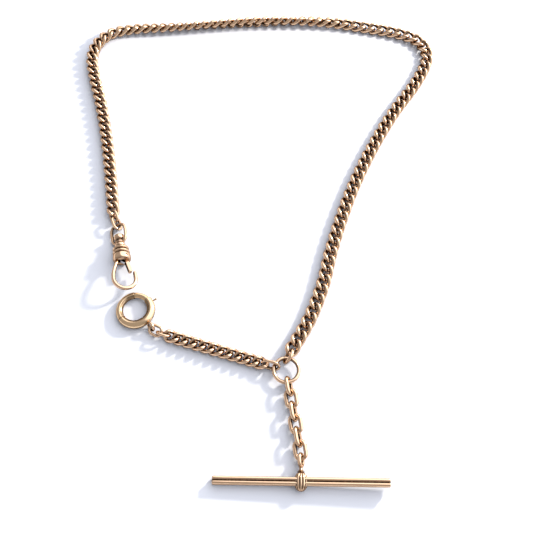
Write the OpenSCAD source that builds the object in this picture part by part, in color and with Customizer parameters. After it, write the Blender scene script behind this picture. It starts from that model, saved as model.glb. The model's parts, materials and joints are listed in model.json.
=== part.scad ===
// Pocket watch chain of the single Albert pattern, laid out on a table.
// A long curb chain ends in a swivel hook. A centre ring joins it to a short curb chain with a
// bolt ring, and to a drop chain with a T-bar. Millimetres, +Z up, the table at z = 0.

/* [Curb chain] */
// Number of links in the long chain, which share nodes four at a time
main_links = 100; // [96:4:104]
// Wire diameter of the largest curb link
link_wire = 1.2; // [1.1:0.02:1.22]
// Part of their size that the links lose from the centre ring to the swivel
main_taper = 0.08; // [0.04:0.01:0.1]
// Outer width of the largest curb link
link_width = 4.15; // [4.05:0.05:4.25]
// Half of the twist's height in the largest curb link
link_twist = 0.86; // [0.84:0.01:0.88]

/* [Short chain] */
// Number of links in the short chain to the bolt ring
short_links = 11; // [9:1:12]
// Distance from one short chain link to the next
short_pitch = 2.56; // [2.54:0.01:2.58]
// Size of a short chain link as a part of the largest link
short_scale = 0.9; // [0.88:0.01:0.91]

/* [Drop chain] */
// Number of oval links between the centre ring and the T-bar
drop_links = 6; // [4:2:8]
// Outer length of an oval link
drop_len = 5.7; // [5.6:0.1:5.9]
// Outer width of an oval link
drop_wid = 3.9; // [3.8:0.1:4]
// Wire diameter of an oval link
drop_wire = 1.1; // [1:0.05:1.1]

/* [Rings] */
// Outer diameter of the centre ring
centre_ring_od = 7.8; // [7.6:0.1:8.2]
// Wire diameter of the centre ring
centre_ring_wire = 1.04; // [0.94:0.02:1.06]
// Outer diameter of the bolt ring
bolt_ring_od = 11; // [10.8:0.1:11.2]
// Outer diameter of the bolt ring's tube
bolt_tube = 2.15; // [2.05:0.05:2.2]

/* [T-bar] */
// Length of the T-bar
bar_len = 45; // [38:1:50]
// Height of the T-bar's four-lobed section
bar_thick = 2.1; // [2:0.05:2.2]
// Diameter of the gadrooned bead
bead_d = 3.5; // [3.4:0.1:3.8]
// Length of the bead along its stem
bead_len = 4.9; // [4.7:0.1:5.1]

/* [Swivel] */
// Outer width of the swivel's bail
bail_wid = 5.6; // [5.5:0.1:5.8]
// Largest diameter of the turned barrel
barrel_d = 5.1; // [4.9:0.1:5.2]
// Radius that the hook leaves free for a watch bow
hook_r = 2.6; // [2.58:0.01:2.68]
// Thickness of the hook across its bend
hook_wall = 1.1; // [0.95:0.05:1.15]

/* [Hidden] */
$fn = 32;
rose_gold = [0.80, 0.57, 0.42];
yellow_gold = [0.82, 0.65, 0.38];
steel = [0.55, 0.56, 0.58];

// Running gap between two wires that hang in each other
gap = 0.08;
// The same where links of different kinds lie at an angle to each other
play = 0.34;
// The middle of the laid-out piece, which becomes the origin
middle = [-2.191, 14.685];

// ---------------------------------------------------------------- frames
// A frame is a place and three axes: [origin, x, y, z].
function unit(v) = v / norm(v);
function heading(a) = [cos(a), sin(a), 0];
function frame(pos, dir, roll) =
    let (x = unit(dir), y = unit(cross([0, 0, 1], x)), z = cross(x, y))
    [pos, x, y * cos(roll) + z * sin(roll), z * cos(roll) - y * sin(roll)];
function at(f, v) = f[0] + f[1] * v.x + f[2] * v.y + f[3] * v.z;
function lean(a, rise) = [cos(a) * cos(rise), sin(a) * cos(rise), sin(rise)];

module place(f) {
    multmatrix([for (i = [0 : 2]) [f[1][i], f[2][i], f[3][i], f[0][i]]]) children();
}

// ---------------------------------------------------------------- plain rings and oval links
module ring(od, wire) {
    rotate_extrude() translate([(od - wire) / 2, 0]) circle(d = wire);
}

// Two half rings and two straight sides, long axis along X
module oval_link(len, wid, wire) {
    r = (wid - wire) / 2;
    s = (len - wid) / 2;
    for (m = [0, 1]) mirror([m, 0, 0]) translate([s, 0, 0]) rotate([0, 0, -90])
        rotate_extrude(angle = 180) translate([r, 0]) circle(d = wire);
    for (y = [-r, r]) translate([-s, y, 0]) rotate([0, 90, 0]) cylinder(h = 2 * s, d = wire);
}

// ---------------------------------------------------------------- curb link
// The wire follows an oval whose height rises and falls twice a turn, which gives the two end
// bends opposite tilts, so that each link lies flat against the next.
link_rings = 16;
link_sides = 6;
half_wid = (link_width - link_wire) / 2;
half_len_of_pitch = 0.71;

function oval(len, t) = [len * cos(t), half_wid * sin(t), -link_twist * sin(2 * t)];
function oval_way(len, t) = unit([-len * sin(t), half_wid * cos(t), -2 * link_twist * cos(2 * t)]);
function wire_point(len, t, a) =
    let (
        way = oval_way(len, t),
        up = unit([0, 0, 1] - way * way.z),
        side = cross(way, up)
    )
    oval(len, t) + (up * cos(a) + side * sin(a)) * link_wire / 2;

// A curb link in frame f, at the given part of the largest link's size
module curb_link(f, len, size) {
    points = [
        for (j = [0 : link_rings - 1], s = [0 : link_sides - 1])
        at(f, size * wire_point(len, j * 360 / link_rings, (s + 0.5) * 360 / link_sides))
    ];
    function id(j, s) = (j % link_rings) * link_sides + s % link_sides;
    faces = [
        for (j = [0 : link_rings - 1], s = [0 : link_sides - 1])
        [id(j, s), id(j + 1, s), id(j + 1, s + 1), id(j, s + 1)]
    ];
    polyhedron(points, faces);
}

// Height of a link's centre over the table when it is rolled by a
function rest_height(size, a) =
    size * (link_wire / 2 + max([
        for (t = [0 : 5 : 355]) half_wid * sin(t) * sin(a) - link_twist * sin(2 * t) * cos(a)
    ]));

// ---------------------------------------------------------------- centre ring
ring_r = (centre_ring_od - centre_ring_wire) / 2;
ring_centre = [5.3, -31.5, 1.75];
// The point of the ring's wire that lies in direction a from its centre
function ring_point(a) = ring_centre + ring_r * heading(a);

// ---------------------------------------------------------------- long chain
main_per_node = 4;
main_groups = main_links / main_per_node;

// The end link between the centre ring and the long chain stands nearly on edge
end_ring_od = 4.9;
end_ring_wire = 0.9;
end_ring_r = (end_ring_od - end_ring_wire) / 2;
end_ring_roll = 113;
end_ring_way = 65;
end_ring_z = end_ring_r * sin(end_ring_roll) + end_ring_wire / 2;
end_ring_pos = let (
        reach = end_ring_r - (end_ring_wire + centre_ring_wire) / 2 - gap - 0.2,
        rise = (end_ring_z - ring_centre.z) / sin(end_ring_roll),
        p = ring_point(82) + sqrt(reach * reach - rise * rise) * heading(end_ring_way)
    )
    [p.x, p.y, end_ring_z];

// Route of the long chain's centreline over the table, from its first link's centre to its
// last one's, as points for a smooth curve
route = [
    [7.25, -25.1], [12.1, -16.3], [15.9, -6.5], [18.9, 5], [22.7, 16.8], [27.4, 28.8],
    [33.4, 41.2], [40.3, 53.2], [46.7, 62.5], [51.1, 70.2], [52.9, 76.4], [50.8, 81.9],
    [45, 85.3], [35, 87.9], [22.5, 90], [9, 90.6], [-5, 90.1], [-19, 89], [-33, 87.8],
    [-44, 87.2], [-51.5, 85.5], [-56, 81.3], [-57.4, 75.2], [-55.8, 67], [-53.2, 58],
    [-50.9, 48.5], [-49, 39.2], [-47.4, 29.8], [-45.6, 18.2]
];
// Roll of the chain at some distances along it: it lies flat, turns up towards its edge along
// the far side and comes back to lie flat
roll_stations = [[0, 0], [140, 0], [174, 75], [203, 40], [232, 0], [400, 0]];
// Height that the chain's two ends gain where they climb to the links they hang in
lift_stations = [[0, 0.55], [3, 0.28], [6, 0.08], [9, 0], [283, 0], [292, 0.15], [400, 0.15]];

route_steps = 12;
function spline(p, t) = 0.5 * (2 * p[1] + t * (p[2] - p[0])
    + t * t * (2 * p[0] - 5 * p[1] + 4 * p[2] - p[3])
    + t * t * t * (3 * p[1] - p[0] - 3 * p[2] + p[3]));
// The route with one more point past each end, so that the curve runs through all of it
route_long = concat([2 * route[0] - route[1]], route,
    [2 * route[len(route) - 1] - route[len(route) - 2]]);
route_fine = concat(
    [
        for (i = [0 : len(route) - 2], k = [0 : route_steps - 1])
        spline([for (j = [0 : 3]) route_long[i + j]], k / route_steps)
    ],
    [route[len(route) - 1]]
);
route_dist = [
    for (i = 0, s = 0; i < len(route_fine);
        s = s + (i + 1 < len(route_fine) ? norm(route_fine[i + 1] - route_fine[i]) : 0), i = i + 1)
    s
];
route_len = route_dist[len(route_dist) - 1];
route_x = [for (i = [0 : len(route_fine) - 1]) [route_dist[i], route_fine[i].x]];
route_y = [for (i = [0 : len(route_fine) - 1]) [route_dist[i], route_fine[i].y]];

// Pitch of the largest link, so that all links fill the route
main_pitch = route_len / ((main_links - 1) * (1 - main_taper / 2));
half_len = half_len_of_pitch * main_pitch;
function main_size(i) = 1 - main_taper * i / (main_links - 1);
// Distance along the route of link i: the sum of the pitches before it
function main_dist(i) = main_pitch * (i - main_taper * i * i / (2 * (main_links - 1)));
function main_roll(i) = lookup(main_dist(i), roll_stations);
function main_pos(i) =
    let (s = main_dist(i))
    [lookup(s, route_x), lookup(s, route_y),
        rest_height(main_size(i), main_roll(i)) + lookup(s, lift_stations)];
// Each link points from the link before it to the link after it
function main_way(i) = main_pos(min(i + 1, main_links - 1)) - main_pos(max(i - 1, 0));
function main_frame(i) = frame(main_pos(i), main_way(i), main_roll(i));

// ---------------------------------------------------------------- links at the swivel
swivel_wire = 0.85;
swivel_link_len = [4.5, 4.8];
swivel_link_wid = [3.3, 3.4];
swivel_link_roll = [42, -46];
swivel_link_way = [-65, -69];
swivel_link_z = [1.42, 1.58];
last_size = main_size(main_links - 1);
// Half length from centre to centre of the end wires
function reach(len, wire) = (len - wire) / 2;
swivel_link_1_pos = let (p = main_pos(main_links - 1)
    + last_size * half_len * unit(main_way(main_links - 1))
    - ((swivel_wire + link_wire * last_size) / 2 + play) * heading(swivel_link_way[0])
    + reach(swivel_link_len[0], swivel_wire) * heading(swivel_link_way[0]))
    [p.x, p.y, swivel_link_z[0]];
swivel_link_2_pos = let (p = swivel_link_1_pos
    + (reach(swivel_link_len[0], swivel_wire) - swivel_wire - play) * heading(swivel_link_way[0])
    + reach(swivel_link_len[1], swivel_wire) * heading(swivel_link_way[1]))
    [p.x, p.y, swivel_link_z[1]];
swivel_link_1_frame = frame(swivel_link_1_pos, heading(swivel_link_way[0]), swivel_link_roll[0]);
swivel_link_2_frame = frame(swivel_link_2_pos, heading(swivel_link_way[1]), swivel_link_roll[1]);

// ---------------------------------------------------------------- swivel
// X runs from the bail's far wire along the barrel to the hook's bend
bail_wall = 0.85;
swivel_way = -77.8;
swivel_rise = 5.2;
bail_roll = 26;
barrel_roll = -20;
swivel_pos = let (p = swivel_link_2_pos
    + (reach(swivel_link_len[1], swivel_wire) - (swivel_wire + bail_wall) / 2 - play)
    * heading(swivel_link_way[1]))
    [p.x, p.y, swivel_link_z[1]];
bail_frame = frame(swivel_pos, lean(swivel_way, swivel_rise), bail_roll);
barrel_frame = frame(swivel_pos, lean(swivel_way, swivel_rise), barrel_roll);

bail_base = 6.1;
rivet_bore = 0.65;
rivet_r = 0.6;
barrel_top = 6.6;
barrel_end = 12.4;
slot_top = 10.2;
slot_z = 0.8;
hook_x = 18.25;
hook_z = 0.6;
pivot = [11.55, 0.95];
pin_r = 0.3;
lever_len = 4.75;
lever_angle = 12.2;
lever_wall = 1.05;
lever_z = 0.7;

// A squared-off oval with half sizes a and b, centred at x = c
function squared_oval(c, a, b, power) = [
    for (t = [0 : 10 : 350])
    [c + a * sign(cos(t)) * pow(abs(cos(t)), power), b * sign(sin(t)) * pow(abs(sin(t)), power)]
];

// Turns a profile of [x, radius] points about the X axis
module turned(profile) {
    rotate([0, 90, 0]) rotate_extrude() polygon([for (p = profile) [p[1], p[0]]]);
}

module swivel_bail() {
    mid = bail_base / 2;
    color(rose_gold) place(bail_frame) difference() {
        union() {
            linear_extrude(height = bail_wall, center = true) difference() {
                polygon(squared_oval(mid, mid + bail_wall / 2, bail_wid / 2, 0.65));
                polygon(squared_oval(mid, mid - bail_wall / 2, bail_wid / 2 - bail_wall, 0.6));
            }
            translate([bail_base - bail_wall / 2, 0, 0]) rotate([0, 90, 0])
                cylinder(h = bail_wall, d = 2.6);
        }
        translate([bail_base - 1, 0, 0]) rotate([0, 90, 0]) cylinder(h = 2, r = rivet_bore);
    }
}

// The rivet's flat-topped head sits inside the bail, and its shank is fixed in the barrel
module swivel_rivet() {
    head = concat(
        [[3.6, 0], [3.6, 1.2], [3.7, 1.42], [3.95, 1.56], [4.3, 1.6], [4.7, 1.56], [5, 1.46]],
        [[5.35, 1.1], [5.6, 0.8], [5.6, rivet_r], [8.7, rivet_r], [8.7, 0]]
    );
    color(rose_gold) place(barrel_frame) turned(head);
}

// A half-round collar from x0 to x1 standing on radius r0 and rising to r1
function collar(x0, x1, r0, r1) = [
    for (a = [0 : 20 : 180]) [(x0 + x1) / 2 - (x1 - x0) / 2 * cos(a), r0 + (r1 - r0) * sin(a)]
];

module swivel_barrel() {
    r = barrel_d / 2;
    profile = concat(
        [[barrel_top, 0], [barrel_top, 1.3], [6.85, 1.5], [7.4, 1.4]],
        collar(7.9, 9.0, 1.5, r - 0.2),
        collar(9.15, 10.25, 1.6, r - 0.1),
        [[10.4, r - 0.35], [10.7, r - 0.08], [11.3, r], [11.9, r - 0.04], [barrel_end, r - 0.25]],
        [[barrel_end, 0]]
    );
    color(rose_gold) place(barrel_frame) difference() {
        turned(profile);
        translate([barrel_top - 1, 0, 0]) rotate([0, 90, 0]) cylinder(h = 3.2, r = rivet_r + 0.02);
        translate([slot_top, -1.85, -slot_z]) cube([3, 3.7, 2 * slot_z]);
        translate([pivot.x, pivot.y, 0]) cylinder(h = 6, r = pin_r + 0.01, center = true);
    }
}

// The hook: a root in the barrel's slot, a long arm, a half-round bend and a short tip
module swivel_hook() {
    ro = hook_r + hook_wall;
    arm_outer = [for (k = [0 : 0.125 : 1]) [12.2 + k * (hook_x - 12.2), -1.75 - (ro - 1.75) * sin(90 * k)]];
    arm_inner = [
        for (k = [1 : -0.125 : 0])
        [12.2 + k * (hook_x - 12.2), -1.0 - (hook_r - 1.0) * sin(90 * k)]
    ];
    color(rose_gold) place(barrel_frame) {
        translate([0, 0, -hook_z]) linear_extrude(height = 2 * hook_z) {
            polygon(concat(
                [[slot_top + 0.1, -1.0], [slot_top + 0.1, -1.75]], arm_outer, arm_inner));
            polygon([
                [hook_x, hook_r], [hook_x, ro], [16.9, ro - 0.08], [16.05, ro - 0.36],
                [16.05, hook_r + 0.08], [16.9, hook_r + 0.02]
            ]);
        }
        translate([hook_x, 0, -hook_z]) rotate([0, 0, -90]) rotate_extrude(angle = 180)
            translate([hook_r, 0]) square([hook_wall, 2 * hook_z]);
    }
}

// The sprung lever is a channel with its web on the outside
module swivel_lever() {
    w = lever_wall / 2;
    color(rose_gold) place(barrel_frame) translate([pivot.x, pivot.y, 0])
        rotate([0, 0, lever_angle]) difference() {
        union() {
            cylinder(h = 2 * lever_z, r = 0.6, center = true);
            translate([0, -w, -lever_z]) cube([lever_len, 2 * w, 2 * lever_z]);
        }
        cylinder(h = 6, r = pin_r + 0.04, center = true);
        translate([0.95, -w - 1, -lever_z + 0.2]) cube([lever_len - 1.4, w + 1.15, 2 * lever_z - 0.4]);
    }
}

module swivel_lever_pin() {
    color(yellow_gold) place(barrel_frame) translate([pivot.x, pivot.y, 0])
        cylinder(h = 4.1, r = pin_r, center = true);
}

// A leaf spring in the barrel's slot that pushes the lever out
module swivel_lever_spring() {
    color(steel) place(barrel_frame) translate([0, 0, -0.4]) linear_extrude(height = 0.8)
        polygon([
            [slot_top + 0.06, -0.7], [slot_top + 0.06, -0.9], [12.6, -0.5], [13.3, 0.6],
            [13.15, 0.68], [12.5, -0.32]
        ]);
}

// ---------------------------------------------------------------- short chain
short_end_len = 5.5;
short_end_wid = 3.6;
short_end_wire = 0.85;
short_end_way = 165;
short_end_roll = -68;
short_end_rise = -9.5;
short_end_pos = let (p = ring_point(160)
    + (reach(short_end_len, short_end_wire) - (short_end_wire + centre_ring_wire) / 2 - play)
    * heading(short_end_way))
    [p.x, p.y, 1.85];
short_end_frame = frame(short_end_pos, lean(short_end_way, short_end_rise), short_end_roll);

short_way = 163;
short_half_len = 1.87 / short_scale;
short_first = let (p = short_end_pos
    + (reach(short_end_len, short_end_wire) - (short_end_wire + link_wire * short_scale) / 2
    - play - 0.08 + short_half_len * short_scale) * heading(short_end_way))
    [p.x, p.y, rest_height(short_scale, 0)];
function short_pos(i) = short_first + i * short_pitch * heading(short_way);
function short_frame(i) = frame(short_pos(i), heading(short_way), 0);
short_per_node = 3;
short_groups = ceil(short_links / short_per_node);

// Two small links join the short chain to the bolt ring's eye
bolt_link_len = 4.4;
bolt_link_wid = 3.4;
bolt_link_wire = 0.8;
bolt_link_reach = reach(bolt_link_len, bolt_link_wire);
bolt_link_way = [162, 152];
bolt_link_roll = [60, -16];
bolt_link_z = [1.56, 1.48];
bolt_link_1_pos = let (p = short_pos(short_links - 1)
    + (short_half_len * short_scale - (bolt_link_wire + link_wire * short_scale) / 2 - play)
    * heading(short_way) + bolt_link_reach * heading(bolt_link_way[0]))
    [p.x, p.y, bolt_link_z[0]];
bolt_link_2_pos = let (p = bolt_link_1_pos
    + (bolt_link_reach - bolt_link_wire - play) * heading(bolt_link_way[0])
    + bolt_link_reach * heading(bolt_link_way[1]))
    [p.x, p.y, bolt_link_z[1]];
bolt_link_1_frame = frame(bolt_link_1_pos, heading(bolt_link_way[0]), bolt_link_roll[0]);
bolt_link_2_frame = frame(bolt_link_2_pos, heading(bolt_link_way[1]), bolt_link_roll[1]);

// ---------------------------------------------------------------- bolt ring
// X points from the ring's centre to its eye; angles turn from there, seen from above
bolt_r = (bolt_ring_od - bolt_tube) / 2;
tube_bore = bolt_tube / 2 - 0.2;
bolt_wire_r = tube_bore - 0.03;
eye_od = 3.1;
eye_wire = 0.8;
eye_roll = 68;
eye_x = bolt_ring_od / 2 + eye_od / 2 - 0.12;
eye_way = -47;
bolt_rise = 2.3;
// The eye's far wire holds bolt link 2, which fixes the ring's place
bolt_ring_pos = let (p = bolt_link_2_pos
    + (bolt_link_reach - (bolt_link_wire + eye_wire) / 2 - play) * heading(bolt_link_way[1])
    - (eye_x + reach(eye_od, eye_wire)) * heading(eye_way))
    [p.x, p.y, bolt_tube / 2 + bolt_r * sin(bolt_rise)];
bolt_frame = frame(bolt_ring_pos, lean(eye_way, bolt_rise), 0);

gap_from = 92;
gap_to = 144;
tab_angle = 77;
bolt_travel = 52;
bolt_from = 58;
bolt_to = 149;
stop_angle = -74;

module bend(from, to, r0, r1) {
    rotate([0, 0, from]) rotate_extrude(angle = to - from) translate([bolt_r, 0]) difference() {
        circle(r = r1);
        if (r0 > 0) circle(r = r0);
    }
}

// A tube bent into a ring, open where the bolt closes it and slit for the thumb tab
module bolt_ring_case() {
    color(yellow_gold) place(bolt_frame) {
        difference() {
            bend(gap_to, gap_from + 360, tube_bore, bolt_tube / 2);
            rotate([0, 0, tab_angle - bolt_travel - 6]) rotate_extrude(angle = bolt_travel + 12)
                translate([bolt_r + 0.3, -0.28]) square([2, 0.56]);
        }
        bend(stop_angle - 4, stop_angle, 0, tube_bore + 0.05);
    }
}

module bolt_ring_eye() {
    color(rose_gold) place(bolt_frame) difference() {
        translate([eye_x, 0, 0]) rotate([eye_roll, 0, 0]) ring(eye_od, eye_wire);
        bend(-40, 40, 0, bolt_tube / 2 + 0.01);
    }
}

module bolt_ring_bolt() {
    color(yellow_gold) place(bolt_frame) difference() {
        bend(bolt_from, bolt_to, 0, bolt_wire_r);
        rotate([0, 0, tab_angle]) translate([bolt_r + 0.1, 0, 0]) rotate([0, 90, 0])
            cylinder(h = 3, r = 0.21);
    }
}

module bolt_thumb_tab() {
    color(yellow_gold) place(bolt_frame) rotate([0, 0, tab_angle])
        translate([bolt_r + 0.12, 0, 0]) rotate([0, 90, 0]) {
        cylinder(h = bolt_tube / 2 + 0.85, r = 0.2);
        translate([0, 0, bolt_tube / 2 + 0.3]) cylinder(h = 0.75, r = 0.3);
    }
}

// The bolt's spring fills the tube between the bolt and the stop
module bolt_ring_spring() {
    color(steel) place(bolt_frame) bend(stop_angle + 0.5, bolt_from - 0.5, 0.42, tube_bore - 0.08);
}

// ---------------------------------------------------------------- drop chain and T-bar
drop_way = -81;
drop_z = 1.86;
drop_pitch = drop_len - 2 * drop_wire - gap - 0.02;
drop_first = let (p = ring_point(drop_way)
    + (reach(drop_len, drop_wire) - (drop_wire + centre_ring_wire) / 2 - gap) * heading(drop_way))
    [p.x, p.y, drop_z];
// Each link is turned a quarter turn from the one before it
function drop_roll(i) = i % 2 == 0 ? -68 : 22;
function drop_pos(i) = drop_first + i * drop_pitch * heading(drop_way);
function drop_frame(i) = frame(drop_pos(i), heading(drop_way), drop_roll(i));

loop_len = 3.9;
loop_wid = 3.3;
loop_wire = 0.95;
loop_roll = -68;
stem_len = 1.4;
bar_way = -91.1;
bar_tilt = 1.4;
loop_top = drop_pos(drop_links - 1)
    + (reach(drop_len, drop_wire) - (drop_wire + loop_wire) / 2 - 2 * gap) * heading(drop_way);
bead_at = 2 * reach(loop_len, loop_wire) + stem_len + bead_len / 2;
bead_pos = let (p = loop_top + bead_at * heading(bar_way)) [p.x, p.y, bead_d / 2];
bar_frame = frame(bead_pos, heading(bar_way), bar_tilt);
loop_frame = frame(loop_top + reach(loop_len, loop_wire) * heading(bar_way),
    bead_pos - loop_top, loop_roll);

lobe_r = bar_thick / 2 - 0.53;
lobe_at = 0.53;
bar_core = 0.62;
bead_lobes = 12;

// The rod's section has four round lobes with a groove between each two
module rod_section(len, grow) {
    rotate([90, 0, 0]) linear_extrude(height = len, center = true) {
        circle(r = bar_core + grow);
        for (x = [-lobe_at, lobe_at], y = [-lobe_at, lobe_at])
            translate([x, y]) circle(r = lobe_r + grow);
    }
}

module t_bar_rod() {
    color(rose_gold) place(bar_frame) rod_section(bar_len, 0);
}

// A melon bead: ribs run from the stem to the far end
module t_bar_bead() {
    rows = 8;
    sides = 2 * bead_lobes;
    function radius(v, s) = bead_d / 2 * sin(v) * (s % 2 == 0 ? 1 : 0.9);
    points = concat(
        [for (k = [1 : rows - 1], s = [0 : sides - 1]) let (v = 180 * k / rows, r = radius(v, s))
            [-bead_len / 2 * cos(v), r * cos(s * 360 / sides), r * sin(s * 360 / sides)]],
        [[-bead_len / 2, 0, 0], [bead_len / 2, 0, 0]]
    );
    first = (rows - 1) * sides;
    faces = concat(
        [for (k = [0 : rows - 3], s = [0 : sides - 1]) let (n = (s + 1) % sides)
            [k * sides + s, (k + 1) * sides + s, (k + 1) * sides + n, k * sides + n]],
        [for (s = [0 : sides - 1]) [first, s, (s + 1) % sides]],
        [for (s = [0 : sides - 1]) [first + 1, (rows - 2) * sides + (s + 1) % sides,
            (rows - 2) * sides + s]]
    );
    color(rose_gold) place(bar_frame) difference() {
        polyhedron(points, faces);
        rod_section(10, 0.01);
    }
}

// The bead's stem and the loop that hangs in the last oval link
module t_bar_loop() {
    foot = norm(bead_pos - loop_frame[0]) - bead_len / 2 + 0.15;
    color(rose_gold) place(loop_frame) {
        oval_link(loop_len, loop_wid, loop_wire);
        translate([reach(loop_len, loop_wire), 0, 0]) rotate([0, 90, 0]) {
            cylinder(h = foot - reach(loop_len, loop_wire), r = 0.5);
        }
    }
}

// ---------------------------------------------------------------- nodes
module centre_ring() {
    color(rose_gold) translate(ring_centre) ring(centre_ring_od, centre_ring_wire);
}

module main_end_link() {
    color(rose_gold) place(frame(end_ring_pos, heading(end_ring_way), end_ring_roll))
        ring(end_ring_od, end_ring_wire);
}

module main_chain(g) {
    color(rose_gold) for (i = [(g - 1) * main_per_node : g * main_per_node - 1])
        curb_link(main_frame(i), half_len, main_size(i));
}

module short_chain(g) {
    color(rose_gold)
        for (i = [(g - 1) * short_per_node : min(g * short_per_node, short_links) - 1])
        curb_link(short_frame(i), short_half_len, short_scale);
}

module swivel_link(f, k) {
    color(rose_gold) place(f) oval_link(swivel_link_len[k], swivel_link_wid[k], swivel_wire);
}

module short_end_link() {
    color(rose_gold) place(short_end_frame)
        oval_link(short_end_len, short_end_wid, short_end_wire);
}

module bolt_link(f) {
    color(rose_gold) place(f) oval_link(bolt_link_len, bolt_link_wid, bolt_link_wire);
}

module drop_link(n) {
    color(rose_gold) place(drop_frame(n - 1)) oval_link(drop_len, drop_wid, drop_wire);
}

function two(n) = str(n < 10 ? "0" : "", n);
function main_name(g) = str("main_chain_", two(g));

translate([-middle.x, -middle.y, 0]) {
    centre_ring();
    main_end_link();
    for (g = [1 : main_groups]) main_chain(g);
    swivel_link(swivel_link_1_frame, 0);  // swivel_link_1
    swivel_link(swivel_link_2_frame, 1);  // swivel_link_2
    swivel_bail();
    swivel_rivet();
    swivel_barrel();
    swivel_hook();
    swivel_lever();
    swivel_lever_pin();
    swivel_lever_spring();
    short_end_link();
    for (g = [1 : short_groups]) short_chain(g);
    bolt_link(bolt_link_1_frame);  // bolt_link_1
    bolt_link(bolt_link_2_frame);  // bolt_link_2
    bolt_ring_case();
    bolt_ring_eye();
    bolt_ring_bolt();
    bolt_thumb_tab();
    bolt_ring_spring();
    for (n = [1 : drop_links]) drop_link(n);
    t_bar_loop();
    t_bar_bead();
    t_bar_rod();
}
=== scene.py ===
"""Looks of the pocket watch chain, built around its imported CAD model.

Every piece is placed and sized by the CAD node that it stands for. Lengths inside a piece are
in millimetres, in the piece's own frame; Frame.world turns them into metres in the row frame.
"""

import json
import math

import bmesh
import bpy
import numpy as np
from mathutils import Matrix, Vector


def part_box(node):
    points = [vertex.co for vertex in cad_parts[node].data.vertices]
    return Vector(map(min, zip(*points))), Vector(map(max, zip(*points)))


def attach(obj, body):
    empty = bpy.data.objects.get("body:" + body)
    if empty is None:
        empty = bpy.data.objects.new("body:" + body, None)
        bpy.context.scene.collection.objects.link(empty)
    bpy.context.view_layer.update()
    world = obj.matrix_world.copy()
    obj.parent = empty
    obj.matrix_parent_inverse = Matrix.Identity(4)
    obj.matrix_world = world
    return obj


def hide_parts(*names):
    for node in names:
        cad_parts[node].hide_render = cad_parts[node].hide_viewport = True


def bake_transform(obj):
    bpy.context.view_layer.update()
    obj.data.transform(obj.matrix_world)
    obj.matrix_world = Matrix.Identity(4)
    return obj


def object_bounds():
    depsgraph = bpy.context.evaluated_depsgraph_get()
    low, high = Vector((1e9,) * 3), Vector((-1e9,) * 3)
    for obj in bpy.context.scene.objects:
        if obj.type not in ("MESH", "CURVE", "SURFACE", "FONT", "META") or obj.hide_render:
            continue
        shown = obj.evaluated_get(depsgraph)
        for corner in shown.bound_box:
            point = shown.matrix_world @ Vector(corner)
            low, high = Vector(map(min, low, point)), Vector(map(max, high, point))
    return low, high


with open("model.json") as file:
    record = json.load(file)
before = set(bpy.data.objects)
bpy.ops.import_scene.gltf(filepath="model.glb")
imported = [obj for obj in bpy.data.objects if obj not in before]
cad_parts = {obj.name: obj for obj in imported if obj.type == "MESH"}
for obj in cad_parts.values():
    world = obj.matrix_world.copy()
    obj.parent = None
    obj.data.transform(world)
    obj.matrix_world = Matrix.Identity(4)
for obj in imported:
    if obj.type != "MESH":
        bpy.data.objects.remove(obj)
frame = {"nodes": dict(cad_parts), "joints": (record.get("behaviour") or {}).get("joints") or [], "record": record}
cad_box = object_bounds()
MM = 0.001
UP = np.array([0.0, 0.0, 1.0])

# ---------------------------------------------------------------- camera
CAMERA_ELEVATION = 65
CAMERA_DISTANCE = 216.8 * MM
CAMERA_FIELD = 39.1
# The camera's target on the table, from the middle of the object's box
TARGET_OFFSET = Vector((2.2, -14.6, 0)) * MM


def make_camera():
    low, high = cad_box
    target = (low + high) / 2
    target.z = low.z
    target += TARGET_OFFSET
    rise = math.radians(CAMERA_ELEVATION)
    back = Vector((0, -math.cos(rise), math.sin(rise)))
    camera = bpy.data.objects.new("camera", bpy.data.cameras.new("camera"))
    bpy.context.scene.collection.objects.link(camera)
    camera.location = target + CAMERA_DISTANCE * back
    camera.rotation_euler = (-back).to_track_quat("-Z", "Y").to_euler()
    camera.data.angle = math.radians(CAMERA_FIELD)
    camera.data.clip_start = 0.01
    bpy.context.scene.camera = camera


# ---------------------------------------------------------------- light and floor
# A soft lamp near the table, to the right and behind, in the row frame
LAMP_PLACE = Vector((172, 98, 106)) * MM
LAMP_RADIUS = 15 * MM
LAMP_POWER = 50
FLOOR_SIDE = 6.0


def direction(azimuth, elevation):
    """The unit vector towards an azimuth from +X and an elevation, in degrees."""
    a, e = math.radians(azimuth), math.radians(elevation)
    return Vector((math.cos(a) * math.cos(e), math.sin(a) * math.cos(e), math.sin(e)))


def make_lamp():
    """One soft lamp whose light doesn't weaken with distance, so that the paper stays even."""
    light = bpy.data.lights.new("lamp", "POINT")
    light.energy = LAMP_POWER
    light.shadow_soft_size = LAMP_RADIUS
    light.color = (1.0, 0.93, 0.82)
    light.use_nodes = True
    tree = light.node_tree
    falloff = tree.nodes.new("ShaderNodeLightFalloff")
    falloff.inputs["Strength"].default_value = 1
    tree.links.new(falloff.outputs["Constant"], tree.nodes["Emission"].inputs["Strength"])
    lamp = bpy.data.objects.new("lamp", light)
    lamp.location = LAMP_PLACE
    bpy.context.scene.collection.objects.link(lamp)


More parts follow.
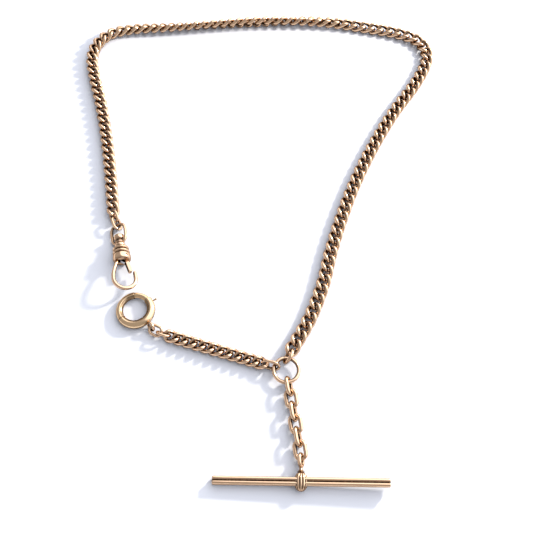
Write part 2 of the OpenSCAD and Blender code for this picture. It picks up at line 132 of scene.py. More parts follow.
def make_room():
    """A room that is bright to the right of the object and behind it, dark above and in front."""
    world = bpy.data.worlds.new("room")
    bpy.context.scene.world = world
    world.use_nodes = True
    tree = world.node_tree
    place = tree.nodes.new("ShaderNodeTexCoord")
    across = tree.nodes.new("ShaderNodeVectorMath")
    across.operation = "DOT_PRODUCT"
    across.inputs[1].default_value = direction(38, 20)
    share = tree.nodes.new("ShaderNodeMapRange")
    share.inputs["From Min"].default_value = -1
    ramp = tree.nodes.new("ShaderNodeValToRGB")
    steps = [(0.0, (0.42, 0.415, 0.42)), (0.67, (0.42, 0.42, 0.43)), (0.72, (0.65, 0.66, 0.7)),
             (0.76, (1.75, 1.8, 1.9)), (1.0, (2.1, 2.15, 2.28))]
    ramp.color_ramp.elements.remove(ramp.color_ramp.elements[1])
    for k, (at, colour) in enumerate(steps):
        mark = ramp.color_ramp.elements.new(at) if k else ramp.color_ramp.elements[0]
        mark.position = at
        mark.color = (*colour, 1)
    tree.links.new(place.outputs["Generated"], across.inputs[0])
    tree.links.new(across.outputs["Value"], share.inputs["Value"])
    tree.links.new(share.outputs["Result"], ramp.inputs["Fac"])
    tree.links.new(ramp.outputs["Color"], tree.nodes["Background"].inputs["Color"])


def make_floor():
    mesh = bpy.data.meshes.new("floor")
    s, z = FLOOR_SIDE / 2, cad_box[0].z
    mesh.from_pydata([(-s, -s, z), (s, -s, z), (s, s, z), (-s, s, z)], [], [(0, 1, 2, 3)])
    floor = bpy.data.objects.new("floor", mesh)
    bpy.context.scene.collection.objects.link(floor)
    paper = bpy.data.materials.new("white_paper")
    paper.use_nodes = True
    shader = paper.node_tree.nodes["Principled BSDF"]
    shader.inputs["Base Color"].default_value = (0.865, 0.887, 0.965, 1)
    shader.inputs["Roughness"].default_value = 0.7
    mesh.materials.append(paper)


# ---------------------------------------------------------------- materials
class Nodes:
    """Short ways to make and join shader nodes."""

    def __init__(self, material):
        material.use_nodes = True
        self.tree = material.node_tree
        self.shader = self.tree.nodes["Principled BSDF"]
        self.place = self.tree.nodes.new("ShaderNodeTexCoord").outputs["Object"]

    def join(self, source, target):
        self.tree.links.new(source, target)

    def noise(self, size, detail, stretch=(1, 1, 1)):
        """Noise whose features are about size millimetres across."""
        moved = self.tree.nodes.new("ShaderNodeMapping")
        moved.inputs["Scale"].default_value = stretch
        node = self.tree.nodes.new("ShaderNodeTexNoise")
        node.inputs["Scale"].default_value = 1 / (size * MM)
        node.inputs["Detail"].default_value = detail
        self.join(self.place, moved.inputs["Vector"])
        self.join(moved.outputs["Vector"], node.inputs["Vector"])
        return node.outputs["Fac"]

    def upward(self):
        """How far the piece's own surface faces up, -1 to 1."""
        normal = self.tree.nodes.new("ShaderNodeTexCoord").outputs["Normal"]
        parts = self.tree.nodes.new("ShaderNodeSeparateXYZ")
        self.join(normal, parts.inputs["Vector"])
        return parts.outputs["Z"]

    def spread(self, source, low, high, to_low=0.0, to_high=1.0):
        """Maps low..high of a value onto to_low..to_high."""
        node = self.tree.nodes.new("ShaderNodeMapRange")
        for name, value in [("From Min", low), ("From Max", high), ("To Min", to_low),
                            ("To Max", to_high)]:
            node.inputs[name].default_value = value
        self.join(source, node.inputs["Value"])
        return node.outputs["Result"]

    def math(self, operation, a, b):
        node = self.tree.nodes.new("ShaderNodeMath")
        node.operation = operation
        for k, value in enumerate((a, b)):
            if isinstance(value, (int, float)):
                node.inputs[k].default_value = value
            else:
                self.join(value, node.inputs[k])
        return node.outputs["Value"]

    def blend(self, share, first, second):
        """Colour first where share is 0 and second where it is 1."""
        node = self.tree.nodes.new("ShaderNodeMix")
        node.data_type = "RGBA"
        self.join(share, node.inputs[0])
        for value, socket in ((first, node.inputs[6]), (second, node.inputs[7])):
            if isinstance(value, tuple):
                socket.default_value = (*value, 1)
            else:
                self.join(value, socket)
        return node.outputs[2]

    def attribute(self, name):
        node = self.tree.nodes.new("ShaderNodeAttribute")
        node.attribute_name = name
        return node.outputs["Fac"]


def gold(name, worn, plated, deep, roughness):
    """Old gold: plated and worn patches, dark grime and painted shade in the hollows, painted shade on
    faces that look down, fine scratches and dents."""
    material = bpy.data.materials.new(name)
    n = Nodes(material)
    patches = n.spread(n.noise(2.4, 3), 0.38, 0.62)
    hollow = n.attribute("hollow")
    # Grime and painted shade: the hollow values, broken up by noise, mix in the dark colour
    grime_and_shade = n.math("MULTIPLY", hollow, n.spread(n.noise(0.9, 4), 0.3, 0.6, 0.75, 1.0))
    # Painted shade: the further a face looks down, the darker it is painted
    grime_and_shade = n.math("MAXIMUM", grime_and_shade, n.spread(n.upward(), -0.35, 0.5, 0.85, 0.0))
    skin = n.blend(patches, worn, plated)
    n.join(n.blend(grime_and_shade, skin, deep), n.shader.inputs["Base Color"])
    scratches = n.noise(0.1, 3, (1, 0.25, 1))
    rough = n.math("ADD", n.spread(n.noise(0.5, 4), 0.3, 0.7, roughness - 0.05, roughness + 0.07),
                   n.math("MULTIPLY", grime_and_shade, 0.22))
    n.join(rough, n.shader.inputs["Roughness"])
    bump = n.tree.nodes.new("ShaderNodeBump")
    bump.inputs["Strength"].default_value = 0.55
    bump.inputs["Distance"].default_value = 0.006 * MM
    n.join(n.math("ADD", scratches, n.math("MULTIPLY", n.noise(0.45, 2), 1.6)),
           bump.inputs["Height"])
    n.join(bump.outputs["Normal"], n.shader.inputs["Normal"])
    n.shader.inputs["Metallic"].default_value = 1
    n.shader.inputs["Specular Tint"].default_value = (0.24, 0.14, 0.07, 1)
    return material


def steel(name):
    """Blued spring steel with a drawn grain."""
    material = bpy.data.materials.new(name)
    n = Nodes(material)
    grain = n.noise(0.15, 3, (1, 0.2, 1))
    n.join(n.blend(grain, (0.42, 0.43, 0.46), (0.62, 0.62, 0.62)), n.shader.inputs["Base Color"])
    n.join(n.spread(grain, 0.3, 0.7, 0.25, 0.42), n.shader.inputs["Roughness"])
    n.shader.inputs["Metallic"].default_value = 1
    return material


ROSE = gold("old_rose_gold", worn=(0.9, 0.62, 0.405), plated=(0.9, 0.6, 0.395),
            deep=(0.035, 0.014, 0.004), roughness=0.11)
YELLOW = gold("old_yellow_gold", worn=(0.92, 0.655, 0.39), plated=(0.92, 0.635, 0.39),
              deep=(0.04, 0.017, 0.005), roughness=0.1)
STEEL = steel("old_spring_steel")


# ---------------------------------------------------------------- frames
class Frame:
    """A place and three axes in the row frame. Local lengths are in millimetres."""

    def __init__(self, origin, x, y):
        self.origin = np.array(origin, float)
        self.x = np.array(x, float) / np.linalg.norm(x)
        y = np.array(y, float) - self.x * (np.array(y, float) @ self.x)
        self.y = y / np.linalg.norm(y)
        self.z = np.cross(self.x, self.y)

    def world(self, points):
        local = np.atleast_2d(np.array(points, float))
        return self.origin + MM * (local @ np.array([self.x, self.y, self.z]))

    def local(self, points):
        return ((points - self.origin) @ np.array([self.x, self.y, self.z]).T) / MM

    def turned_x(self, angle):
        """The same frame rolled about its X axis."""
        a = math.radians(angle)
        return Frame(self.origin, self.x, self.y * math.cos(a) + self.z * math.sin(a))


def cad_mesh(node):
    """Corner points and triangles of a CAD node."""
    mesh = frame["nodes"][node].data
    mesh.calc_loop_triangles()
    points = np.array([v.co for v in mesh.vertices], float)
    triangles = np.array([t.vertices for t in mesh.loop_triangles], int)
    return points, triangles


def solids(node):
    """The corner points and triangles of each separate solid in a CAD node."""
    points, triangles = cad_mesh(node)
    keys = {}
    same = [keys.setdefault(tuple(p), len(keys)) for p in np.round(points, 7).tolist()]
    unique = np.array(list(keys), float)
    triangles = np.array(same)[triangles]
    label = np.arange(len(unique))
    while True:
        low = label[triangles].min(axis=1)
        grown = label.copy()
        for k in range(3):
            np.minimum.at(grown, triangles[:, k], low)
        if (grown == label).all():
            break
        label = grown
    return [(unique, triangles[label[triangles[:, 0]] == name]) for name in np.unique(label)]


def own_frame(points, triangles):
    """The frame along a solid's principal axes, longest first, at its centre of volume."""
    a, b, c = (points[triangles[:, k]] for k in range(3))
    volume = np.einsum("ij,ij->i", a, np.cross(b, c)) / 6
    total = a + b + c
    centre = (volume[:, None] * total / 4).sum(0) / volume.sum()
    second = sum(np.einsum("i,ij,ik->jk", volume / 20, p, p) for p in (a, b, c, total))
    spread = second / volume.sum() - np.outer(centre, centre)
    axes = np.linalg.eigh(spread)[1]
    made = Frame(centre, axes[:, 2], axes[:, 1])
    used = made.local(points[np.unique(triangles)])
    return made, used.min(0), used.max(0)


def node_frame(node):
    return own_frame(*cad_mesh(node))


def extent(node, place):
    """Lowest and highest local corner of a CAD node in the given frame."""
    local = place.local(cad_mesh(node)[0])
    return local.min(0), local.max(0)


def joint(name):
    return next(j for j in frame["joints"] if j["name"] == name)


# ---------------------------------------------------------------- mesh building
class Shape:
    """Points, faces and hollow values of one piece, gathered from several closed skins."""

    def __init__(self):
        self.points, self.faces, self.hollow = [], [], []

    def add(self, place, points, faces, hollow):
        base = len(self.points)
        self.points.extend(place.world(points).tolist())
        self.faces.extend([tuple(base + k for k in face) for face in faces])
        self.hollow.extend(hollow)

    def skin(self, place, rings, hollow, closed):
        """Joins rings of points into a skin: closed on itself, or capped by a fan at each end."""
        rows, sides = len(rings), len(rings[0])
        points = [p for ring in rings for p in ring]
        values = [h for ring in hollow for h in ring]
        faces = []
        for j in range(rows if closed else rows - 1):
            k = (j + 1) % rows
            for s in range(sides):
                t = (s + 1) % sides
                faces.append((j * sides + s, j * sides + t, k * sides + t, k * sides + s))
        if not closed:
            for row, flip in ((0, True), (rows - 1, False)):
                points.append(np.mean(rings[row], axis=0))
                values.append(float(np.mean(hollow[row])))
                for s in range(sides):
                    pair = (row * sides + s, row * sides + (s + 1) % sides)
                    faces.append((len(points) - 1, *(pair[::-1] if flip else pair)))
        self.add(place, points, faces, values)

    def object(self, name, material):
        mesh = bpy.data.meshes.new(name)
        mesh.from_pydata(self.points, [], self.faces)
        mesh.attributes.new("hollow", "FLOAT", "POINT").data.foreach_set("value", self.hollow)
        mesh.polygons.foreach_set("use_smooth", [True] * len(mesh.polygons))
        mesh.materials.append(material)
        made = bpy.data.objects.new(name, mesh)
        bpy.context.scene.collection.objects.link(made)
        fix_normals(made)
        return made


def fix_normals(made):
    """Turns every face outward."""
    work = bmesh.new()
    work.from_mesh(made.data)
    bmesh.ops.recalc_face_normals(work, faces=work.faces)
    work.to_mesh(made.data)
    work.free()


def finish_piece(made, body, *nodes, edge=40):
    """Rides the piece on its body in place of CAD nodes, and keeps edges sharper than edge."""
    made.data.set_sharp_from_angle(angle=math.radians(edge))
    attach(made, body)
    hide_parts(*nodes)
    return made


def cut(made, cutter):
    """Takes the cutter's volume away from a piece."""
    step = made.modifiers.new("cut", "BOOLEAN")
    step.operation = "DIFFERENCE"
    step.solver = "EXACT"
    step.object = cutter
    graph = bpy.context.evaluated_depsgraph_get()
    mesh = bpy.data.meshes.new_from_object(made.evaluated_get(graph))
    made.modifiers.remove(step)
    made.data = mesh
    bpy.data.objects.remove(cutter)


# ---------------------------------------------------------------- wires bent into links
LINK_SIDES = 14


def sweep(shape, place, path, radius, closed, hollow, steps, sides=LINK_SIDES):
    """Draws a wire along path(u), u from 0 to 1. radius(u) is the wire's, hollow(u, a) its grime and
    painted shade, where a is the angle round the wire from the side that faces away from the local origin."""
    count = steps if closed else steps + 1
    rings, values = [], []
    for j in range(count):
        u = j / steps
        here = np.array(path(u), float)
        way = np.array(path((u + 1e-4) % 1 if closed else u + 1e-4), float)
        way = way - np.array(path((u - 1e-4) % 1 if closed else u - 1e-4), float)
        way /= np.linalg.norm(way)
        side = np.cross(way, UP)
        side /= np.linalg.norm(side)
        up = np.cross(side, way)
        ring, grime_and_shade = [], []
        for s in range(sides):
            a = 2 * math.pi * s / sides
            ring.append(here + radius(u) * (side * math.cos(a) + up * math.sin(a)))
            grime_and_shade.append(hollow(u, a))
        rings.append(ring)
        values.append(grime_and_shade)
    shape.skin(place, rings, values, closed)


def seam_dip(u, at, width):
    """1 on a solder seam at u = at and 0 away from it, on a closed wire."""
    away = abs((u - at + 0.5) % 1 - 0.5)
    return math.exp(-(away / width) ** 2)


def link_grime_and_shade(u, a, seam=0.25):
    """Grime and painted shade lie on the side of the wire that faces the hole; the solder seam is a little darker
    too.
    """
    inside = max(0.0, -math.cos(a))
    return min(1.0, 1.15 * inside ** 1.3 + 0.55 * seam_dip(u, seam, 0.012))


def closed_wire(shape, place, path, wire, steps, seam=0.25):
    """A wire joined end to end, with a fine solder seam at u = seam."""
    sweep(shape, place, path, lambda u: wire / 2 * (1 - 0.05 * seam_dip(u, seam, 0.012)), True,
          lambda u, a: link_grime_and_shade(u, a, seam), steps)


def oval_path(length, width):
    """Centreline of two half rings and two straight sides, long axis along X, for u in 0..1."""
    r = width / 2
    s = (length - width) / 2
    bend, side = math.pi * r, 2 * s
    total = 2 * (bend + side)

    def path(u):
        d = (u % 1) * total
        for sign in (1, -1):
            if d < side:
                return [sign * (s - d), sign * r, 0]
            d -= side
            if d < bend:
                a = math.pi / 2 + d / r
                return [sign * (r * math.cos(a) - s), sign * r * math.sin(a), 0]
            d -= bend
        return [s, r, 0]
    return path


def wire_link(node, steps=56, seam=0.25):
    """A round or oval link in place of a CAD node of the same name."""
    place, low, high = node_frame(node)
    length, width, wire = high - low
    shape = Shape()
    closed_wire(shape, place, oval_path(length - wire, width - wire), wire, steps, seam)
    return finish_piece(shape.object(node + "_wire", ROSE), body_of_node(node), node)


def body_of_node(node):
    bodies = frame["record"]["behaviour"]["bodies"]
    return next(body for body, members in bodies.items() if node in members)


# ---------------------------------------------------------------- curb links
# Wire diameter and half of the twist's height, as parts of a curb link's width
CURB_WIRE = 1.2 / 4.15
CURB_TWIST = 0.86 / 4.15
CURB_STEPS = 44


def curb_path(half_len, half_wid, twist):
    def path(u):
        t = 2 * math.pi * u
        return [half_len * math.cos(t), half_wid * math.sin(t), -twist * math.sin(2 * t)]
    return path


def curb_group(node):
    """The curb links of one CAD node."""
    shape = Shape()
    for points, triangles in solids(node):
        place, low, high = own_frame(points, triangles)
        length, width, _ = high - low
        wire = CURB_WIRE * width
        closed_wire(shape, place, curb_path((length - wire) / 2, (width - wire) / 2,
                                            CURB_TWIST * width), wire, CURB_STEPS)
    return finish_piece(shape.object(node + "_links", ROSE), body_of_node(node), node)


# ---------------------------------------------------------------- turned pieces
def turned(shape, place, profile, hollow, sides=56, closed=False):
    """Turns [x, radius] points about the frame's X axis. hollow gives each point's grime and painted shade."""
    rings, values = [], []
    turns = [2 * math.pi * s / sides for s in range(sides)]
    for (x, r), grime_and_shade in zip(profile, hollow):
        rings.append([[x, r * math.cos(t), r * math.sin(t)] for t in turns])
        values.append([grime_and_shade] * sides)
    shape.skin(place, rings, values, closed)


def smooth_profile(points, steps=4):
    """A finer profile that runs smoothly through [x, radius] points."""
    p = np.array([points[0], *points, points[-1]], float)
    fine = []
    for k in range(1, len(p) - 2):
        for j in range(steps):
            t = j / steps
            a, b, c, d = p[k - 1:k + 3]
            fine.append(0.5 * (2 * b + t * (c - a) + t * t * (2 * a - 5 * b + 4 * c - d)
                               + t ** 3 * (3 * b - a - 3 * c + d)))
    fine.append(p[-2])
    return [[x, max(r, 0.001)] for x, r in fine]


def bead_arc(x0, x1, r0, r1, steps=8):
    """A half-round collar from x0 to x1 standing on radius r0 and rising to r1."""
    return [[(x0 + x1) / 2 - (x1 - x0) / 2 * math.cos(math.pi * k / steps),
             r0 + (r1 - r0) * math.sin(math.pi * k / steps)] for k in range(steps + 1)]


def groove_grime_and_shade(profile, reach=0.45):
    """Grime and painted shade where the profile is lower than what stands beside it."""
    values = []
    for x, r in profile:
        near = max(q for p, q in profile if abs(p - x) <= reach)
        values.append(min(1.0, max(0.0, (near - r) * 2.2)))
    return values


# ---------------------------------------------------------------- swivel
BARREL_PIVOT = (11.55, 0.95)
BAIL_POWER = 0.62
BAIL_WALL = 0.85
LEVER_ANGLE = 12.2
LEVER_HALF_WALL = 0.525
# The hook's arm leaves the barrel at ARM_FROM, ARM_OFF away from the barrel's axis, and its nose
# ends NOSE_BACK behind the middle of the bend
HOOK_WALL = 1.1
ARM_FROM, ARM_OFF = 12.2, 1.375
NOSE_BACK = 2.2


def swivel_frame():
    """X along the barrel towards the hook, Z along the lever's pin, origin in the bail's wire."""
    turn, press = joint("swivel_turn"), joint("lever_press")
    x, z = np.array(turn["axis"], float), np.array(press["axis"], float)
    rivet = node_frame("swivel_rivet")[0].origin
    hook = node_frame("swivel_hook")[0].origin
    x = x * np.sign(x @ (hook - rivet))
    y = np.cross(z, x)
    pin = np.array(press["pos_m"], float)
    origin = pin - MM * (BARREL_PIVOT[0] * x + BARREL_PIVOT[1] * y)
    return Frame(origin, x, y)


def pivot_place(place):
    """The lever's pivot, in the row frame."""
    return place.world([*BARREL_PIVOT, 0])[0]


def make_bail(place):
    """A stout wire in a squared oval, with a pierced boss where the rivet turns."""
    own, low, high = node_frame("swivel_bail")
    if own.x @ place.x < 0:
        own = Frame(own.origin, -own.x, own.y)
        low, high = extent("swivel_bail", own)
    own = Frame(own.world([low[0] + BAIL_WALL / 2, 0, 0])[0], own.x, own.y)
    half_len = (high[0] - low[0] - BAIL_WALL) / 2
    half_wid = (high[1] - low[1] - BAIL_WALL) / 2

    # The wire starts and ends inside the boss, on either side of the rivet's hole
    start = math.asin((0.9 / half_wid) ** (1 / BAIL_POWER))

    def path(u):
        t = start + (2 * math.pi - 2 * start) * u
        c, s = math.cos(t), math.sin(t)
        return [half_len * math.copysign(abs(c) ** BAIL_POWER, c),
                half_wid * math.copysign(abs(s) ** BAIL_POWER, s), 0]

    middle = Frame(own.world([half_len, 0, 0])[0], own.x, own.y)
    shape = Shape()
    sweep(shape, middle, path, lambda u: BAIL_WALL / 2 * 1.04, False,
          lambda u, a: link_grime_and_shade(u, a, 0.6), 72)
    base = 2 * half_len
    boss = [[base - 0.42, 0.66], [base - 0.42, 1.0], [base - 0.38, 1.22], [base - 0.28, 1.32],
            [base + 0.28, 1.32], [base + 0.38, 1.22], [base + 0.42, 1.0], [base + 0.42, 0.66]]
    turned(shape, own, boss, [0.5] * len(boss), closed=True)
    return finish_piece(shape.object("swivel_bail_wire", ROSE), "swivel_bail", "swivel_bail")


def make_rivet(place):
    """The button inside the bail, and its shank in the barrel."""
    low, high = extent("swivel_rivet", place)
    top, r = low[0], high[1]
    head = [[top, 0.001], [top, 0.66 * r]] + smooth_profile([
        [top + 0.03, 0.76 * r], [top + 0.13, 0.88 * r], [top + 0.35, 0.97 * r], [top + 0.7, r],
        [top + 1.1, 0.98 * r], [top + 1.4, 0.91 * r], [top + 1.66, 0.74 * r],
        [top + 1.92, 0.52 * r]])
    shank = [[top + 1.97, 0.6], [high[0], 0.6], [high[0], 0.001]]
    shape = Shape()
    turned(shape, place, head + shank, groove_grime_and_shade(head + shank))
    return finish_piece(shape.object("swivel_rivet_button", ROSE), "swivel", "swivel_rivet")


def make_barrel(place):
    """A turned barrel with a neck, two collars and a plain band, slotted for hook and lever."""
    low, high = extent("swivel_barrel", place)
    r = high[1]
    top, end = low[0], high[0]
    profile = (
        [[top, 0.001], [top, 1.15], [top + 0.06, 1.32]]
        + smooth_profile([[top + 0.2, 1.46], [top + 0.45, 1.5], [top + 0.8, 1.4],
                          [top + 1.2, 1.5]])
        + bead_arc(top + 1.3, top + 2.35, 1.55, r - 0.22)
        + bead_arc(top + 2.5, top + 3.6, 1.65, r - 0.1)
        + smooth_profile([[top + 3.72, 1.95], [top + 3.85, r - 0.2], [top + 4.15, r - 0.05],
                          [top + 4.7, r], [top + 5.3, r - 0.03], [end - 0.12, r - 0.16]])
        + [[end - 0.03, r - 0.26], [end, r - 0.4], [end, 0.001]]
    )
    shape = Shape()
    turned(shape, place, profile, groove_grime_and_shade(profile), 72)
    made = shape.object("swivel_barrel_body", ROSE)
    cut(made, box_cutter(place, (10.2, -1.85, -0.8), (13.2, 1.85, 0.8)))
    drill(made, Frame(pivot_place(place), place.z, place.x), 0.31)
    return finish_piece(made, "swivel", "swivel_barrel", edge=32)


def box_cutter(place, low, high):
    corners = [[(low, high)[i][0], (low, high)[j][1], (low, high)[k][2]]
               for i in (0, 1) for j in (0, 1) for k in (0, 1)]
    faces = [(0, 1, 3, 2), (4, 6, 7, 5), (0, 4, 5, 1), (2, 3, 7, 6), (0, 2, 6, 4), (1, 5, 7, 3)]
    shape = Shape()
    # The walls that this box cuts into a piece take its dark value: painted shade on the cut walls
    shape.add(place, corners, faces, [0.9] * 8)
    return shape.object("slot", ROSE)


def drill(made, along, radius):
    """Cuts a round hole along a frame's X axis."""
    hole = Shape()
    # The hole's walls take a fully dark value: painted shade in the hole
    turned(hole, along, [[-3, radius], [3, radius]], [1, 1], 24)
    cut(made, hole.object("hole", ROSE))


def ways(line):
    """The unit direction of travel at each [x, y, ...] point of a flat line."""
    for k in range(len(line)):
        ahead, behind = line[min(k + 1, len(line) - 1)], line[max(k - 1, 0)]
        way = np.array([ahead[0] - behind[0], ahead[1] - behind[1], 0])
        yield way / np.linalg.norm(way)


def rounded_section(half_a, half_b, round_off, steps=4):
    """A rounded rectangle of half sizes a and b as [a, b] points."""
    points = []
    for k, (sa, sb) in enumerate([(1, 1), (-1, 1), (-1, -1), (1, -1)]):
        for j in range(steps + 1):
            t = math.pi / 2 * (k + j / steps)
            points.append([sa * (half_a - round_off) + round_off * math.cos(t),
                           sb * (half_b - round_off) + round_off * math.sin(t)])
    return points


def make_hook(place):
    """The hook's root lies in the barrel's slot. Its arm swells into the bend and ends in a
    nose."""
    low, high = extent("swivel_hook", place)
    outer = (high[1] - low[1]) / 2
    half_z = high[2]
    mid_r = outer - HOOK_WALL / 2
    bend_x = high[0] - outer
    nose = bend_x - NOSE_BACK
    # Points of the middle line, each [x, y, half of the wall there]
    line = [(low[0] + 0.05, -ARM_OFF, 0.36), (11.3, -ARM_OFF, 0.37), (ARM_FROM, -ARM_OFF, 0.375)]
    for k in range(1, 12):
        s = k / 12
        swell = math.sin(math.pi / 2 * s)
        line.append((ARM_FROM + s * (bend_x - ARM_FROM), -ARM_OFF - (mid_r - ARM_OFF) * swell,
                     0.375 + 0.175 * swell))
    for k in range(25):
        a = math.radians(-90 + 180 * k / 24)
        line.append((bend_x + mid_r * math.cos(a), mid_r * math.sin(a), HOOK_WALL / 2))
    line += [(nose + 1.1, mid_r, 0.54), (nose + 0.6, mid_r - 0.05, 0.5),
             (nose + 0.2, mid_r - 0.12, 0.42), (nose, mid_r - 0.17, 0.32)]
    rings, values = [], []
    for (x, y, half), way in zip(line, ways(line)):
        side = np.cross(way, UP)
        slim = min(1.0, half / 0.36)
        section = rounded_section(half, half_z * slim, min(0.56, half * 0.97))
        rings.append([np.array([x, y, 0]) + side * a + UP * b for a, b in section])
        # Grime and painted shade: darker on the side of the wire that faces into the hook
        values.append([0.75 * max(0.0, -a / half) ** 2 for a, b in section])
    shape = Shape()
    shape.skin(place, rings, values, False)
    return finish_piece(shape.object("swivel_hook_wire", ROSE), "swivel", "swivel_hook", edge=60)


def lever_frame(place):
    a = math.radians(LEVER_ANGLE)
    return Frame(pivot_place(place), place.x * math.cos(a) + place.y * math.sin(a),
                 place.y * math.cos(a) - place.x * math.sin(a))


def make_lever(place):
    """A channel pressed from sheet: a web outside, two cheeks, a closed nose and a round heel."""
    own = lever_frame(place)
    low, high = extent("swivel_lever", own)
    tip, half_w, half_z = high[0], LEVER_HALF_WALL, high[2]
    stations = [(-0.55, 0.3), (-0.42, 0.45), (-0.2, 0.56), (0.1, 0.6), (0.4, 0.58), (0.8, 0.54),
                (1.4, half_w), (tip - 0.55, half_w), (tip - 0.22, 0.48), (tip - 0.07, 0.37),
                (tip - 0.005, 0.2)]
    rings, values = [], []
    for x, half in stations:
        section = rounded_section(half, half_z - (0.12 if half < 0.3 else 0), 0.14)
        rings.append([[x, a, b] for a, b in section])
        values.append([0.15] * len(section))
    shape = Shape()
    shape.skin(own, rings, values, False)
    made = shape.object("swivel_lever_channel", ROSE)
    cut(made, box_cutter(own, (0.95, -1.4, -half_z + 0.2), (tip - 0.45, 0.16, half_z - 0.2)))
    drill(made, Frame(own.origin, own.z, own.x), 0.33)
    # Painted shade: the inside of the channel is made fully dark
    for value, vertex in zip(made.data.attributes["hollow"].data, made.data.vertices):
        spot = own.local(np.array(vertex.co, float))
        if 0.9 < spot[0] < tip - 0.4 and abs(spot[2]) < half_z - 0.15 and spot[1] < 0.2:
            value.value = 1.0
    return finish_piece(made, "swivel_lever", "swivel_lever", edge=32)


def make_lever_pin(place):
    """A short pin with a low dome at each end."""
    low, high = extent("swivel_lever_pin", place)
    half, r = high[2], (high[0] - low[0]) / 2
    own = Frame(pivot_place(place), place.z, place.x)
    dome = [[half - 0.1, r], [half - 0.03, 0.85 * r], [half, 0.5 * r], [half + 0.01, 0.001]]
    profile = [[-x, q] for x, q in reversed(dome)] + dome
    shape = Shape()
    turned(shape, own, profile, [0.2] * len(profile), 24)
    return finish_piece(shape.object("swivel_lever_pin_rivet", YELLOW), "swivel",
                        "swivel_lever_pin")


def make_leaf_spring(place):
    """A bent leaf between the slot's floor and the lever."""
    line = [(10.3, -0.8, 0.09), (11.2, -0.7, 0.085), (12.0, -0.55, 0.08), (12.6, -0.4, 0.075),
            (12.85, -0.02, 0.07), (13.08, 0.35, 0.065), (13.2, 0.6, 0.06)]
    rings = []
    for (x, y, half), way in zip(line, ways(line)):
        side = np.cross(way, UP)
        rings.append([np.array([x, y, 0]) + side * a + UP * b
                      for a, b in rounded_section(half, 0.4, 0.04, 2)])
    shape = Shape()
    shape.skin(place, rings, [[0.2] * len(rings[0])] * len(rings), False)
    made = shape.object("swivel_leaf_spring", STEEL)
    made.data.set_sharp_from_angle(angle=math.radians(40))
    place.world([12.2, -0.5, 0])[0]
    place.world([13.2, 0.6, 0])[0]
    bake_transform(made)
    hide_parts("swivel_lever_spring")


# ---------------------------------------------------------------- bolt ring
# Angles from the eye, seen from above
GAP_FROM, GAP_TO = 92, 144
TAB_ANGLE = 77
BOLT_TRAVEL = 52
BOLT_FROM, BOLT_TO = 58, 149
STOP_ANGLE = -74
SLEEVE_FROM = 263
BORE = 0.85
# The eye's outer diameter, its wire and its roll in degrees
EYE = 3.1, 0.8, 68


def bolt_ring_frame():
    draw = joint("bolt_draw")
    z = np.array(draw["axis"], float)
    z = z * np.sign(z[2])
    origin = np.array(draw["pos_m"], float)
    low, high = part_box("bolt_ring_eye")
    towards = np.array((low + high) / 2, float) - origin
    towards -= z * (towards @ z)
    return Frame(origin, towards, np.cross(z, towards))


def arc_tube(shape, place, ring_r, stations, sides=28, hollow=None):
    """A bent rod: stations are [angle, radius] along the ring."""
    rings, values = [], []
    for angle, r in stations:
        a = math.radians(angle)
        out = np.array([math.cos(a), math.sin(a), 0])
        rings.append([out * ring_r + r * (out * math.cos(t) + UP * math.sin(t))
                      for t in (2 * math.pi * s / sides for s in range(sides))])
        values.append([0.3 if hollow is None else hollow(angle, 2 * math.pi * s / sides)
                       for s in range(sides)])
    shape.skin(place, rings, values, False)


